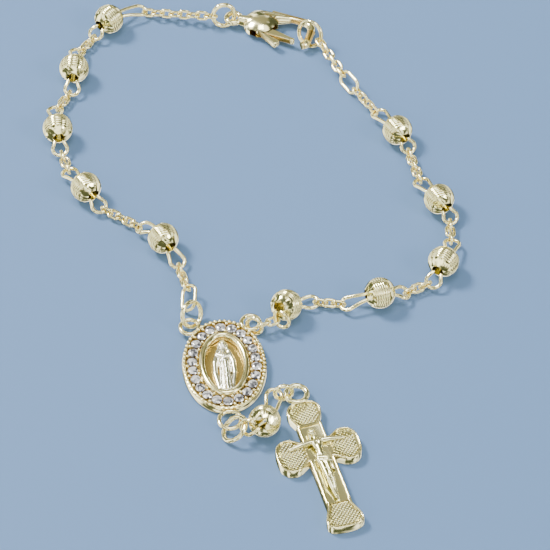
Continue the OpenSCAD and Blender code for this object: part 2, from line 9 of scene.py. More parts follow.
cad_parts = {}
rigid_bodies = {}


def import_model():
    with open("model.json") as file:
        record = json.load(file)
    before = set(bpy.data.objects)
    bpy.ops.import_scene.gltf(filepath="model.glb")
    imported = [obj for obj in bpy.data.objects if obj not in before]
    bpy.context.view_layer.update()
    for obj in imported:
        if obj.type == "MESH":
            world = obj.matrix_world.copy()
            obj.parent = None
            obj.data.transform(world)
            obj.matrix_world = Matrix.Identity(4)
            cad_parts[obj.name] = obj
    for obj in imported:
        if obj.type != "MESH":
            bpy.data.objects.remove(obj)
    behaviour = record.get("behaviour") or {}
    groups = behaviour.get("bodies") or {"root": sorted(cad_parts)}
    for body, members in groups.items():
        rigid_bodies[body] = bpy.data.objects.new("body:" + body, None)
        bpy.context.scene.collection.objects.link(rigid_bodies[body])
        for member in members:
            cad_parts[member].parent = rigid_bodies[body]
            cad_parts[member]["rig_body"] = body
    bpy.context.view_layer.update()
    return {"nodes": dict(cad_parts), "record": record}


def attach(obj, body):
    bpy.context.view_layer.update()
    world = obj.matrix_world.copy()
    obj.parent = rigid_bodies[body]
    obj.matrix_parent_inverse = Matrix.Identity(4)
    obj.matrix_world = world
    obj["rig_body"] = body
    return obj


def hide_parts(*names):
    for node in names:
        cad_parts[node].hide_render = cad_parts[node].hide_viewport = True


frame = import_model()
print("frame loaded:", len(frame["nodes"]), "nodes")

mm = 0.001  # every piece is modelled in millimetres and brought to metres when it is placed
record = frame["record"]
mountPlace = {m["name"]: Vector(m["pos_m"]) for m in record["mounts"]}
turned = {"medal": 5.4, "cross": 16.8}  # how far each lies turned in the frame, in degrees


# Selecting, editing and placing
def selectOnly(*pieces):
    if bpy.context.object and bpy.context.object.mode != "OBJECT":
        bpy.ops.object.mode_set(mode="OBJECT")
    bpy.ops.object.select_all(action="DESELECT")
    for piece in pieces:
        piece.select_set(True)
    bpy.context.view_layer.objects.active = pieces[0]


def editAll(piece):
    selectOnly(piece)
    bpy.ops.object.mode_set(mode="EDIT")
    bpy.ops.mesh.select_all(action="SELECT")


def leaveEdit():
    bpy.ops.object.mode_set(mode="OBJECT")


def applyModifier(piece, kind, **settings):
    selectOnly(piece)
    modifier = piece.modifiers.new(kind.title(), kind)
    for key, value in settings.items():
        setattr(modifier, key, value)
    bpy.ops.object.modifier_apply(modifier=modifier.name)


def joinAll(name, pieces):
    selectOnly(*pieces)
    bpy.ops.object.join()
    joined = bpy.context.object
    joined.name = name
    joined.data.name = name
    return joined


def placePiece(piece, place, turn=0.0):
    piece.data.transform(piece.matrix_world)
    piece.matrix_world = Matrix.Identity(4)
    move = Matrix.Translation(place) @ Matrix.Rotation(math.radians(turn), 4, "Z")
    piece.data.transform(move @ Matrix.Scale(mm, 4))
    piece.data.update()


def finishPiece(piece, material, body, replaced=()):
    piece.data.materials.clear()
    piece.data.materials.append(material)
    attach(piece, body)
    if replaced:
        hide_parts(*replaced)


def smoothByAngle(piece, degrees):
    selectOnly(piece)
    bpy.ops.object.shade_smooth_by_angle(angle=math.radians(degrees))


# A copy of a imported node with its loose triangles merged, in millimetres
def mergedCopy(nodeName, pieceName):
    source = frame["nodes"][nodeName]
    piece = source.copy()
    piece.data = source.data.copy()
    for key in list(piece.keys()):
        del piece[key]
    piece.parent = None
    piece.name = pieceName
    piece.data.name = pieceName
    bpy.context.scene.collection.objects.link(piece)
    piece.data.transform(Matrix.Scale(1 / mm, 4))
    editAll(piece)
    bpy.ops.mesh.customdata_custom_splitnormals_clear()
    bpy.ops.mesh.remove_doubles(threshold=0.001)
    leaveEdit()
    return piece


# Marks the points along a piece's inward creases, for painted shade in its metal there
def markShadedCreases(piece, degrees=20):
    form = bmesh.new()
    form.from_mesh(piece.data)
    creased = set()
    for edge in form.edges:
        if len(edge.link_faces) == 2 and edge.calc_face_angle_signed(0) < -math.radians(degrees):
            creased.update(point.index for point in edge.verts)
    form.free()
    marks = piece.data.attributes.new("groove", "FLOAT", "POINT")
    for index in creased:
        marks.data[index].value = 1.0


# Shader building: a Socket takes part in sums, a Shading adds any other node
class Socket:
    def __init__(self, tree, socket):
        self.tree = tree
        self.socket = socket

    def combine(self, operation, other, swapped=False):
        node = self.tree.nodes.new("ShaderNodeMath")
        node.operation = operation
        first, second = (other, self) if swapped else (self, other)
        for index, value in enumerate((first, second)):
            if isinstance(value, Socket):
                self.tree.links.new(value.socket, node.inputs[index])
            else:
                node.inputs[index].default_value = value
        return Socket(self.tree, node.outputs[0])

    def __add__(self, other):
        return self.combine("ADD", other)

    def __radd__(self, other):
        return self.combine("ADD", other)

    def __sub__(self, other):
        return self.combine("SUBTRACT", other)

    def __rsub__(self, other):
        return self.combine("SUBTRACT", other, swapped=True)

    def highest(self, other):
        return self.combine("MAXIMUM", other)

    def __mul__(self, other):
        return self.combine("MULTIPLY", other)

    def __rmul__(self, other):
        return self.combine("MULTIPLY", other)

    def __pow__(self, other):
        return self.combine("POWER", other)


class Shading:
    def __init__(self, owner, surface, output):
        owner.use_nodes = True
        self.owner = owner
        self.tree = owner.node_tree
        self.tree.nodes.clear()
        self.surface = self.tree.nodes.new(surface)
        end = self.tree.nodes.new(output)
        self.tree.links.new(self.surface.outputs[0], end.inputs["Surface"])

    # settings go on the node first, then each socket gets its value or link; a key such as n1 is its number
    def node(self, kind, settings, output, **sockets):
        node = self.tree.nodes.new("ShaderNode" + kind)
        for key, value in settings.items():
            if key == "stops":
                self.setStops(node.color_ramp, value)
            else:
                setattr(node, key, value)
        for key, value in sockets.items():
            self.feed(node.inputs[int(key[1:]) if key[0] == "n" and key[1:].isdigit() else key], value)
        return Socket(self.tree, node.outputs[output])

    def feed(self, socket, value):
        if isinstance(value, Socket):
            self.tree.links.new(value.socket, socket)
        else:
            socket.default_value = value

    def setStops(self, ramp, stops):
        while len(ramp.elements) < len(stops):
            ramp.elements.new(0.5)
        for element, (place, colour) in zip(ramp.elements, stops):
            element.position = place
            element.color = (*colour, 1)

    def coordinates(self):
        return self.node("TexCoord", {}, "Object")

    def noise(self, scale, detail=2.0, roughness=0.5):
        return self.node("TexNoise", {}, "Fac", Vector=self.coordinates(), Scale=scale,
                         Detail=detail, Roughness=roughness)

    def mixColour(self, factor, first, second):
        node = self.tree.nodes.new("ShaderNodeMix")
        node.data_type = "RGBA"
        self.feed(node.inputs[0], factor)
        for index, value in ((6, first), (7, second)):
            self.feed(node.inputs[index], value if isinstance(value, Socket) else (*value, 1))
        return Socket(self.tree, node.outputs[2])

    def bump(self, height, strength, distance):
        return self.node("Bump", {}, "Normal", Height=height, Strength=strength, Distance=distance)

    def set(self, **values):
        for key, value in values.items():
            self.feed(self.surface.inputs[key.replace("_", " ")], value)


def newMaterial(name):
    return Shading(bpy.data.materials.new(name), "ShaderNodeBsdfPrincipled", "ShaderNodeOutputMaterial")


# Metals: pale gold plate with painted shade in amber where it lies in hollows or inward creases, with
# handling marks
metalLooks = {
    # shade strength is how far painted shade darkens hollows to amber, and reach how near, in millimetres,
    # what shades them is
    "beadGold": {"light": (0.98, 0.93, 0.55), "deep": (0.82, 0.75, 0.36), "amber": (0.30, 0.22, 0.05),
                 "rough": 0.09, "tuck": 0.8, "reach": 0.7, "grain": 0.08},
    "wireGold": {"light": (1.0, 0.93, 0.54), "deep": (0.90, 0.78, 0.36), "amber": (0.58, 0.40, 0.10),
                 "rough": 0.12, "tuck": 0.7, "reach": 0.5, "grain": 0.10},
    "ringGold": {"light": (1.0, 0.95, 0.58), "deep": (0.90, 0.79, 0.38), "amber": (0.62, 0.42, 0.10),
                 "rough": 0.09, "tuck": 0.7, "reach": 0.8, "grain": 0.08},
    "medalGold": {"light": (0.98, 0.91, 0.54), "deep": (0.86, 0.75, 0.36), "amber": (0.60, 0.42, 0.12),
                  "rough": 0.14, "tuck": 0.8, "reach": 0.7, "grain": 0.14},
    "figureWhite": {"light": (0.98, 0.97, 0.84), "deep": (0.86, 0.82, 0.60), "amber": (0.55, 0.42, 0.20),
                    "rough": 0.18, "tuck": 0.7, "reach": 0.3, "grain": 0.18},
    "crossGold": {"light": (0.98, 0.94, 0.58), "deep": (0.80, 0.75, 0.40), "amber": (0.48, 0.38, 0.16),
                  "rough": 0.13, "tuck": 0.6, "reach": 0.45, "grain": 0.14},
    "knurlGold": {"light": (1.0, 0.98, 0.70), "deep": (0.90, 0.86, 0.52), "amber": (0.26, 0.21, 0.07),
                  "rough": 0.08, "tuck": 1.4, "reach": 0.4, "grain": 0.05},
    "claspGold": {"light": (0.98, 0.93, 0.58), "deep": (0.84, 0.75, 0.38), "amber": (0.58, 0.38, 0.10),
                  "rough": 0.15, "tuck": 0.8, "reach": 1.0, "grain": 0.10},
}


# What all the metals share: scales of clouds and rub marks, how painted shade falls in hollows and creases,
# and what it and the marks do to the polish
goldFinish = {
    "cloudScale": 420, "rubScale": 2600, "shadeSamples": 8, "tuckPower": 1.4, "grooveShare": 0.9,
    "markDepth": 0.01, "rubRough": 0.10, "tuckRough": 0.12, "roughShift": 0.05,
}


def makeMetal(name):
    look = metalLooks[name]
    gold = goldFinish
    shading = newMaterial(name)
    cloud = shading.noise(scale=gold["cloudScale"], detail=3)
    rub = shading.noise(scale=gold["rubScale"], detail=4, roughness=0.7)
    openness = shading.node("AmbientOcclusion", {"samples": gold["shadeSamples"]}, "AO",
                            Distance=look["reach"] * mm)
    groove = shading.node("Attribute", {"attribute_name": "groove"}, "Fac")
    # painted shade: the plate darkens to its amber shade colour where ambient occlusion finds hollows and
    # along marked creases
    paintedShade = ((1 - openness) ** gold["tuckPower"] * look["tuck"]).highest(groove * gold["grooveShare"])
    plate = shading.mixColour(cloud, look["light"], look["deep"])
    colour = shading.mixColour(paintedShade, plate, look["amber"])
    marks = shading.bump(rub, strength=look["grain"], distance=gold["markDepth"] * mm)
    roughnessFromWearAndShade = rub * gold["rubRough"] + paintedShade * gold["tuckRough"]
    shading.set(Base_Color=colour, Metallic=1.0, Normal=marks,
                Roughness=roughnessFromWearAndShade + (look["rough"] - gold["roughShift"]))
    return shading.owner


# Cut stones: clear, shown with painted sparkle, random cells from dark grey to near white standing for
# facet reflections
stoneLook = {
    "grain": 2600, "metallic": 0.55, "rough": 0.05, "refraction": 2.1,
    # the stops run from painted dark facets through grey to painted near-white glints
    "stops": ((0.30, (0.10, 0.10, 0.12)), (0.48, (0.42, 0.42, 0.46)), (0.62, (0.95, 0.95, 0.98))),
}


def makeStone():
    look = stoneLook
    shading = newMaterial("cutStone")
    facets = shading.node("TexVoronoi", {}, "Color", Vector=shading.coordinates(), Scale=look["grain"])
    # painted sparkle: each random cell gets a dark, grey or bright colour in place of reflections
    paintedSparkle = shading.node("ValToRGB", {"stops": look["stops"]}, "Color", Fac=facets)
    shading.set(Base_Color=paintedSparkle, Metallic=look["metallic"], Roughness=look["rough"], IOR=look["refraction"])
    return shading.owner


metals = {name: makeMetal(name) for name in metalLooks}
stoneMaterial = makeStone()
print("materials made:", len(metals) + 1)


# Bead links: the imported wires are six-sided, so they are rounded and then swollen a little
wireRound = {"levels": 2, "swell": 0.09, "smoothAngle": 60}


def roundWire(nodeName, pieceName):
    piece = mergedCopy(nodeName, pieceName)
    editAll(piece)
    bpy.ops.mesh.tris_convert_to_quads()
    leaveEdit()
    applyModifier(piece, "SUBSURF", levels=wireRound["levels"], render_levels=wireRound["levels"])
    editAll(piece)
    bpy.ops.transform.shrink_fatten(value=wireRound["swell"])
    leaveEdit()
    smoothByAngle(piece, wireRound["smoothAngle"])
    placePiece(piece, Vector())
    return piece


# Rounded edges: the angle under which faces count as flat, the one that makes an edge sharp, and steps
edgeRounding = {"flat": 1, "sharp": 35, "steps": 3}


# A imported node's own form with smooth shading; plating lies on it a few hundredths of a millimetre thick
def smoothNode(nodeName, pieceName, angle=30, plating=0.0, bevel=0.0):
    piece = mergedCopy(nodeName, pieceName)
    if plating:
        editAll(piece)
        bpy.ops.transform.shrink_fatten(value=plating)
        leaveEdit()
    if bevel:
        editAll(piece)
        bpy.ops.mesh.dissolve_limited(angle_limit=math.radians(edgeRounding["flat"]))
        leaveEdit()
        applyModifier(piece, "BEVEL", width=bevel, segments=edgeRounding["steps"], limit_method="ANGLE",
                      angle_limit=math.radians(edgeRounding["sharp"]), harden_normals=False)
    markShadedCreases(piece)
    smoothByAngle(piece, angle)
    placePiece(piece, Vector())
    return piece


def bodyOf(nodeName):
    return frame["nodes"][nodeName]["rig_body"]


# Beads, links, rings and clasp: the first row with a word that begins a node's name says how it is dressed
dressings = {
    # words: ending of the piece's name, metal, slot, maker, and its settings in degrees and millimetres
    ("bead_link", "drop_link"): ("_wire", "wireGold", "wire_gold", roundWire, {}),
    ("bead", "drop_bead"): ("_cut", "beadGold", "bead_gold", smoothNode, {"angle": 18}),
    ("chain", "tail_chain", "oval_link"): ("_links", "wireGold", "wire_gold", smoothNode,
                                           {"angle": 60, "plating": 0.035}),
    # ring_end has no plating, so that the lever clears it
    ("ring_end",): ("_wire", "ringGold", "ring_gold", smoothNode, {"angle": 60}),
    ("ring",): ("_wire", "ringGold", "ring_gold", smoothNode, {"angle": 60, "plating": 0.06}),
    ("clasp_body",): ("_polished", "claspGold", "clasp_gold", smoothNode, {"angle": 40}),
    ("clasp_lever",): ("_polished", "claspGold", "clasp_gold", smoothNode, {"angle": 40, "bevel": 0.22}),
}


def dressNodes():
    for nodeName in sorted(frame["nodes"]):
        for words, (ending, metal, slot, make, settings) in dressings.items():
            if nodeName.startswith(words):
                piece = make(nodeName, nodeName + ending, **settings)
                finishPiece(piece, metals[metal], bodyOf(nodeName), [nodeName])
                break


dressNodes()
print("beads, wires, rings and clasp dressed")


# Medal: polished body, milgrain round the edge, prongs between the stones, a thin bright inner rim
medalSettings = {
    "width": 13.2, "height": 17.9, "top": 1.5, "border": 3.15,
    "grains": 62, "grainRadius": 0.27, "grainInset": 0.30,
    "stones": 22, "stoneInset": 1.575, "prongOut": 0.78, "prongRadius": 0.27, "prongRise": 0.02,
    "innerWire": 0.13, "innerSteps": 24, "innerRound": 4, "smoothAngle": 35,
}


def ovalPoint(inset, angle, lift=0.0):
    s = medalSettings
    across, along = s["width"] / 2 - inset, s["height"] / 2 - inset
    return Vector((across * math.cos(angle), along * math.sin(angle), lift))


# Angles at which places lie evenly along the oval, the first one a share of a step in
def evenAngles(inset, count, share=0.5, steps=720):
    points = [ovalPoint(inset, 2 * math.pi * i / steps) for i in range(steps + 1)]
    travelled = [0.0]
    for i in range(steps):
        travelled.append(travelled[-1] + (points[i + 1] - points[i]).length)
    angles = []
    for k in range(count):
        wanted = (k + share) / count * travelled[-1]
        i = next(j for j in range(steps) if travelled[j + 1] >= wanted)
        part = (wanted - travelled[i]) / (travelled[i + 1] - travelled[i])
        angles.append(2 * math.pi * (i + part) / steps)
    return angles


def ballsAt(name, places, radius, flatten=0.8):
    balls = []
    bpy.ops.mesh.primitive_ico_sphere_add(subdivisions=2, radius=radius, location=(0, 0, 0))
    first = bpy.context.object
    first.data.transform(Matrix.Diagonal((1, 1, flatten, 1)))
    for place in places:
        ball = first.copy()
        ball.data = first.data.copy()
        ball.location = place
        bpy.context.scene.collection.objects.link(ball)
        balls.append(ball)
    bpy.data.objects.remove(first)
    joined = joinAll(name, balls)
    selectOnly(joined)
    bpy.ops.object.transform_apply(location=True, rotation=True, scale=True)
    bpy.ops.object.shade_smooth()
    return joined


# The thin bright wire round the dish
def makeInnerRim():
    s = medalSettings
    bpy.ops.curve.primitive_bezier_circle_add(radius=1, location=(0, 0, 0))
    rim = bpy.context.object
    rim.name = "medal_inner_rim"
    rim.data.transform(Matrix.Diagonal((s["width"] / 2 - s["border"], s["height"] / 2 - s["border"], 1, 1)))
    rim.data.transform(Matrix.Translation((0, 0, s["top"])))
    rim.data.resolution_u = s["innerSteps"]
    rim.data.bevel_depth = s["innerWire"]
    rim.data.bevel_resolution = s["innerRound"]
    selectOnly(rim)
    bpy.ops.object.convert(target="MESH")
    return bpy.context.object


def makeMedal():
    s = medalSettings
    body = smoothNode("medal", "medal_polished", angle=s["smoothAngle"])
    finishPiece(body, metals["medalGold"], "bracelet", ["medal"])
    grainAngles = evenAngles(s["grainInset"], s["grains"])
    grainPlaces = [ovalPoint(s["grainInset"], a, s["top"]) for a in grainAngles]
    grains = ballsAt("medal_milgrain", grainPlaces, s["grainRadius"])
    prongAngles = evenAngles(s["stoneInset"], s["stones"], share=1.0)
    prongPlaces = [ovalPoint(s["stoneInset"] + side * s["prongOut"], a, s["top"] + s["prongRise"])
                   for a in prongAngles for side in (-1, 1)]
    prongs = ballsAt("medal_prongs", prongPlaces, s["prongRadius"], flatten=1.1)
    rim = makeInnerRim()
    for piece in (grains, prongs, rim):
        placePiece(piece, mountPlace["medal_back"], turned["medal"])
        finishPiece(piece, metals["medalGold"], "bracelet")
    stones = frame["nodes"]["medal_stones"]
    stones.data.materials.clear()
    stones.data.materials.append(stoneMaterial)


makeMedal()
print("medal made")


# Cast figures: capsules joined, melted into one skin and smoothed
capsuleForm = {"around": 20, "rings": 12, "shortest": 0.01}


def addCapsule(parts, a, b, ra, rb):
    form = capsuleForm
    start, end = Vector(a), Vector(b)
    for point, radius in ((start, ra), (end, rb)):
        bpy.ops.mesh.primitive_uv_sphere_add(segments=form["around"], ring_count=form["rings"],
                                             radius=radius, location=point)
        parts.append(bpy.context.object)
    axis = end - start
    if axis.length > form["shortest"]:
        bpy.ops.mesh.primitive_cone_add(vertices=form["around"], radius1=ra, radius2=rb, depth=axis.length,
                                        location=(start + end) / 2)
        cone = bpy.context.object
        cone.rotation_euler = axis.to_track_quat("Z", "Y").to_euler()
        parts.append(cone)


def meltFigure(name, s):
    parts = []
    for a, b, ra, rb in s["capsules"]:
        addCapsule(parts, a, b, ra, rb)
    figure = joinAll(name, parts)
    bpy.ops.object.transform_apply(location=True, rotation=True, scale=True)
    applyModifier(figure, "REMESH", mode="VOXEL", voxel_size=s["grain"])
    applyModifier(figure, "SMOOTH", factor=0.5, iterations=s["smoothing"])
    editAll(figure)
    bpy.ops.mesh.bisect(plane_co=(0, 0, s["floor"]), plane_no=(0, 0, 1), clear_inner=True, use_fill=True)
    leaveEdit()
    bpy.ops.object.shade_smooth()
    return figure


# Figure on the cross. Heights are over the cross's back; rows are start, end and both radii
corpusSettings = {
    "grain": 0.07, "smoothing": 2, "floor": 1.26,
    "capsules": [
        # head, hair and neck
        ((-0.25, 3.05, 2.05), (-0.18, 2.75, 2.1), 0.50, 0.42),
        ((-0.30, 3.35, 1.85), (-0.62, 2.7, 1.7), 0.50, 0.26),
        ((-0.05, 3.3, 1.85), (0.30, 2.6, 1.7), 0.46, 0.24),
        ((-0.62, 2.7, 1.7), (-0.66, 2.1, 1.65), 0.24, 0.16),
        ((0.30, 2.6, 1.7), (0.36, 2.0, 1.65), 0.22, 0.14),
        ((-0.17, 2.72, 2.38), (-0.14, 2.5, 2.25), 0.13, 0.16),
        ((-0.20, 3.02, 2.5), (-0.18, 2.84, 2.58), 0.06, 0.08),
        ((-0.42, 3.08, 2.46), (0.02, 3.06, 2.46), 0.06, 0.06),
        ((-0.1, 2.5, 1.85), (0, 1.9, 1.8), 0.26, 0.30),
        # chest, belly and hips
        ((-0.70, 1.35, 1.85), (0.70, 1.35, 1.85), 0.42, 0.42),
        ((-0.42, 0.95, 1.95), (-0.30, 0.2, 1.95), 0.46, 0.42),
        ((0.42, 0.95, 1.95), (0.30, 0.2, 1.95), 0.46, 0.42),
        ((0, 0.3, 1.9), (0, -1.3, 1.85), 0.56, 0.50),
        ((-0.40, -1.2, 1.8), (0.40, -1.2, 1.8), 0.48, 0.48),
        # arms and hands
        ((-0.85, 1.45, 1.8), (-2.35, 1.25, 1.85), 0.48, 0.42),
        ((-2.35, 1.25, 1.85), (-3.75, 1.05, 1.78), 0.41, 0.32),
        ((-3.75, 1.05, 1.76), (-4.3, 1.0, 1.72), 0.34, 0.26),
        ((0.85, 1.45, 1.8), (2.35, 1.25, 1.85), 0.48, 0.42),
        ((2.35, 1.25, 1.85), (3.75, 1.05, 1.78), 0.41, 0.32),
        ((3.75, 1.05, 1.76), (4.3, 1.0, 1.72), 0.34, 0.26),
        # cloth round the hips, its folds, and the knot at the side
        ((-0.55, -1.7, 1.85), (0.6, -1.95, 1.9), 0.46, 0.46),
        ((-0.62, -2.1, 1.85), (0.65, -2.5, 1.9), 0.48, 0.46),
        ((-0.60, -2.6, 1.85), (0.60, -3.1, 1.85), 0.44, 0.44),
        ((-0.62, -1.75, 2.2), (0.7, -2.15, 2.28), 0.13, 0.13),
        ((-0.66, -2.25, 2.22), (0.72, -2.45, 2.3), 0.12, 0.12),
        ((-0.55, -2.75, 2.18), (0.60, -2.75, 2.25), 0.11, 0.11),
        ((0.95, -2.2, 1.9), (1.05, -2.6, 1.85), 0.32, 0.30),
        ((1.02, -2.6, 1.8), (1.15, -4.1, 1.6), 0.28, 0.16),
        ((0.80, -2.7, 1.8), (0.88, -3.9, 1.65), 0.20, 0.14),
        # legs, knees and feet
        ((-0.38, -2.8, 1.85), (-0.30, -6.0, 2.15), 0.46, 0.34),
        ((0.40, -2.8, 1.85), (0.32, -6.0, 2.15), 0.46, 0.34),
        ((-0.30, -6.0, 2.2), (-0.30, -6.3, 2.18), 0.35, 0.32),
        ((0.32, -6.0, 2.2), (0.32, -6.3, 2.18), 0.35, 0.32),
        ((-0.30, -6.3, 2.12), (-0.16, -7.7, 1.85), 0.33, 0.30),
        ((0.32, -6.3, 2.12), (0.20, -7.7, 1.85), 0.33, 0.30),
        ((-0.16, -7.7, 1.85), (-0.04, -9.3, 1.75), 0.29, 0.20),
        ((0.20, -7.7, 1.85), (0.10, -9.3, 1.75), 0.29, 0.20),
        ((0.02, -9.3, 1.78), (0.05, -10.3, 1.95), 0.24, 0.20),
    ],
}


# Veiled figure in the dish, with joined hands; heights are over the medal's back
veiledSettings = {
    "grain": 0.07, "smoothing": 2, "floor": 0.80,
    "capsules": [
        # head, veil and shoulders
        ((0.02, 3.95, 1.45), (0.02, 3.6, 1.45), 0.44, 0.36),
        ((-0.05, 4.25, 1.25), (0.08, 4.25, 1.25), 0.52, 0.52),
        ((-0.42, 4.1, 1.25), (-0.78, 2.6, 1.15), 0.34, 0.36),
        ((0.46, 4.1, 1.25), (0.82, 2.6, 1.15), 0.34, 0.36),
        ((-0.30, 3.3, 1.15), (0.34, 3.3, 1.15), 0.40, 0.40),
        ((-0.10, 3.98, 1.86), (0.14, 3.98, 1.86), 0.05, 0.05),
        ((0.02, 3.9, 1.86), (0.02, 3.78, 1.90), 0.05, 0.06),
        # mantle down both sides
        ((-0.85, 2.6, 1.15), (-1.45, 0.6, 1.10), 0.45, 0.50),
        ((0.85, 2.6, 1.15), (1.45, 0.6, 1.10), 0.45, 0.50),
        ((-1.45, 0.6, 1.10), (-1.55, -1.6, 1.05), 0.48, 0.44),
        ((1.45, 0.6, 1.10), (1.55, -1.6, 1.05), 0.48, 0.44),
        ((-1.55, -1.6, 1.05), (-1.05, -4.6, 1.00), 0.42, 0.36),
        ((1.55, -1.6, 1.05), (1.05, -4.6, 1.00), 0.42, 0.36),
        ((-1.15, 2.2, 1.35), (-1.75, -0.8, 1.20), 0.20, 0.16),
        ((1.15, 2.2, 1.35), (1.75, -0.8, 1.20), 0.20, 0.16),
        # sleeves and joined hands
        ((-1.05, 2.0, 1.35), (-0.22, 1.35, 1.75), 0.36, 0.24),
        ((1.05, 2.0, 1.35), (0.26, 1.35, 1.75), 0.36, 0.24),
        ((-0.90, 1.3, 1.30), (-0.50, 0.4, 1.30), 0.26, 0.16),
        ((0.94, 1.3, 1.30), (0.54, 0.4, 1.30), 0.26, 0.16),
        ((0.02, 1.25, 1.85), (0.02, 2.15, 1.85), 0.20, 0.12),
        # robe and its long folds
        ((0, 2.6, 1.10), (0, 0.8, 1.20), 0.70, 0.66),
        ((-0.30, 0.8, 1.15), (-0.45, -4.7, 1.00), 0.62, 0.50),
        ((0.34, 0.8, 1.15), (0.45, -4.7, 1.00), 0.62, 0.50),
        ((-0.62, 0.3, 1.62), (-0.78, -4.6, 1.34), 0.15, 0.18),
        ((-0.22, 0.5, 1.72), (-0.28, -4.8, 1.42), 0.15, 0.18),
        ((0.20, 0.5, 1.72), (0.24, -4.8, 1.42), 0.15, 0.18),
        ((0.60, 0.3, 1.62), (0.72, -4.6, 1.34), 0.15, 0.18),
        ((-0.70, -5.0, 1.10), (0.70, -5.0, 1.10), 0.28, 0.28),
    ],
}


def makeFigures():
    veiled = meltFigure("medal_figure_cast", veiledSettings)
    placePiece(veiled, mountPlace["medal_back"], turned["medal"])
    finishPiece(veiled, metals["figureWhite"], "bracelet", ["medal_figure"])
    corpus = meltFigure("corpus_cast", corpusSettings)
    placePiece(corpus, mountPlace["cross_back"], turned["cross"])
    finishPiece(corpus, metals["crossGold"], "bracelet", ["corpus"])


makeFigures()
print("figures cast")


# Cross: polished body, knurled fields of small pyramids in its four ends, wires round them, and rails
crossSettings = {
    "top": 1.5, "fieldDepth": 0.3, "rim": 0.28, "bevel": 0.09, "smoothAngle": 40,
    "pitch": 0.46, "pyramidHeight": 0.27, "pyramidTurn": 45, "pyramidFill": 0.98, "pyramidTip": 0.03,
    "pyramidSink": 0.01, "pyramidMargin": 0.15, "pyramidSteps": 40,
    "stemWidth": 3.9, "channelTop": 4.8, "channelFoot": 9.87, "channelEnd": 0.4, "channelSide": 0.1,
    # edgeLap is how far out from its waist an end's wire starts, and the rails stop railGap from the centre
    "beadWire": 0.13, "railWire": 0.16, "channelHalf": 1.55, "edgeLap": 0.4, "railGap": 1.9,
    # heading, reach, greatest half width, how far from the tip that is, waist half width and its place
    "ends": [
        (90, 9.6, 2.65, 2.0, 1.75, 4.4),
        (0, 6.6, 3.05, 2.3, 1.7, 1.3),
        (180, 6.6, 3.05, 2.3, 1.7, 1.3),
        (270, 14.9, 2.85, 1.3, 1.7, 9.5),
    ],
    "tipPower": 2.5, "tipBend": 0.8, "sideSteps": 8, "tipSteps": 10,
}


# Half width of an end, at a share of the way from its waist to its widest place
def flare(waist, half, share):
    return waist + (half - waist) * (1 - math.cos(math.pi * share)) / 2


# Whether a place in an end's own frame lies in its field, a margin in from the end's edge
def inField(x, y, end, margin):
    reach, half, tip, waist, start = end[1:]
    widest = reach - tip
    if not start + margin < x < reach - margin:
        return False
    if x < widest:
        side = flare(waist, half, (x - start) / (widest - start)) - margin
    else:
        share = (x - widest) / (tip - margin)
        power = crossSettings["tipPower"]
        side = (half - margin) * (1 - min(1, share) ** power) ** (1 / power)
    return abs(y) < side


# Whether a place on the cross lies in the plain channel along its stem
def inChannel(point):
    s = crossSettings
    low, high = -s["channelFoot"] - s["channelEnd"], s["channelTop"] + s["channelEnd"]
    return abs(point.x) < s["stemWidth"] / 2 + s["channelSide"] and low < point.y < high


def makeKnurl():
    s = crossSettings
    bpy.ops.mesh.primitive_cone_add(vertices=4, radius1=s["pitch"] / math.sqrt(2) * s["pyramidFill"],
                                    radius2=s["pyramidTip"], depth=s["pyramidHeight"], location=(0, 0, 0))
    first = bpy.context.object
    # a four-sided cone starts with a corner ahead, so 45 degrees more square it to its row
    first.data.transform(Matrix.Rotation(math.radians(45 + s["pyramidTurn"]), 4, "Z"))
    height = s["top"] - s["fieldDepth"] + s["pyramidHeight"] / 2 - s["pyramidSink"]
    turn = Matrix.Rotation(math.radians(s["pyramidTurn"]), 4, "Z")
    steps = range(-s["pyramidSteps"], s["pyramidSteps"] + 1)
    grid = [turn @ Vector((i * s["pitch"], j * s["pitch"], 0)) for i in steps for j in steps]
    pyramids = []
    for end in s["ends"]:
        back = Matrix.Rotation(-math.radians(end[0]), 4, "Z")
        for point in grid:
            own = back @ point
            if inField(own.x, own.y, end, s["rim"] + s["pyramidMargin"]) and not inChannel(point):
                pyramid = first.copy()
                pyramid.data = first.data.copy()
                pyramid.location = point + Vector((0, 0, height))
                bpy.context.scene.collection.objects.link(pyramid)
                pyramids.append(pyramid)
    bpy.data.objects.remove(first)
    knurl = joinAll("cross_knurl", pyramids)
    bpy.ops.object.transform_apply(location=True, rotation=True, scale=True)
    placePiece(knurl, mountPlace["cross_back"], turned["cross"])
    finishPiece(knurl, metals["knurlGold"], "bracelet")
    return len(pyramids)


# A thin round wire along a row of points, in millimetres
def wireAlong(name, points, radius, roundness=3):
    curve = bpy.data.curves.new(name, "CURVE")
    curve.dimensions = "3D"
    curve.bevel_depth = radius
    curve.bevel_resolution = roundness
    curve.use_fill_caps = True
    line = curve.splines.new("POLY")
    line.points.add(len(points) - 1)
    for spot, point in zip(line.points, points):
        spot.co = (*point, 1)
    wire = bpy.data.objects.new(name, curve)
    bpy.context.scene.collection.objects.link(wire)
    selectOnly(wire)
    bpy.ops.object.convert(target="MESH")
    return bpy.context.object


# One half of an end's outline, an inset in from its edge, in the end's own frame
def endEdge(end, inset):
    s = crossSettings
    reach, half, tip, waist, start = end[1:]
    widest = reach - tip
    first = start + s["edgeLap"]
    points = []
    for i in range(s["sideSteps"]):
        share = i / s["sideSteps"]
        points.append((first + (widest - first) * share, flare(waist, half, share) - inset))
    for i in range(s["tipSteps"] + 1):
        turn = math.pi / 2 * (1 - i / s["tipSteps"])
        points.append((widest + (tip - inset) * max(0.0, math.cos(turn)) ** s["tipBend"],
                       (half - inset) * max(0.0, math.sin(turn)) ** s["tipBend"]))
    return points


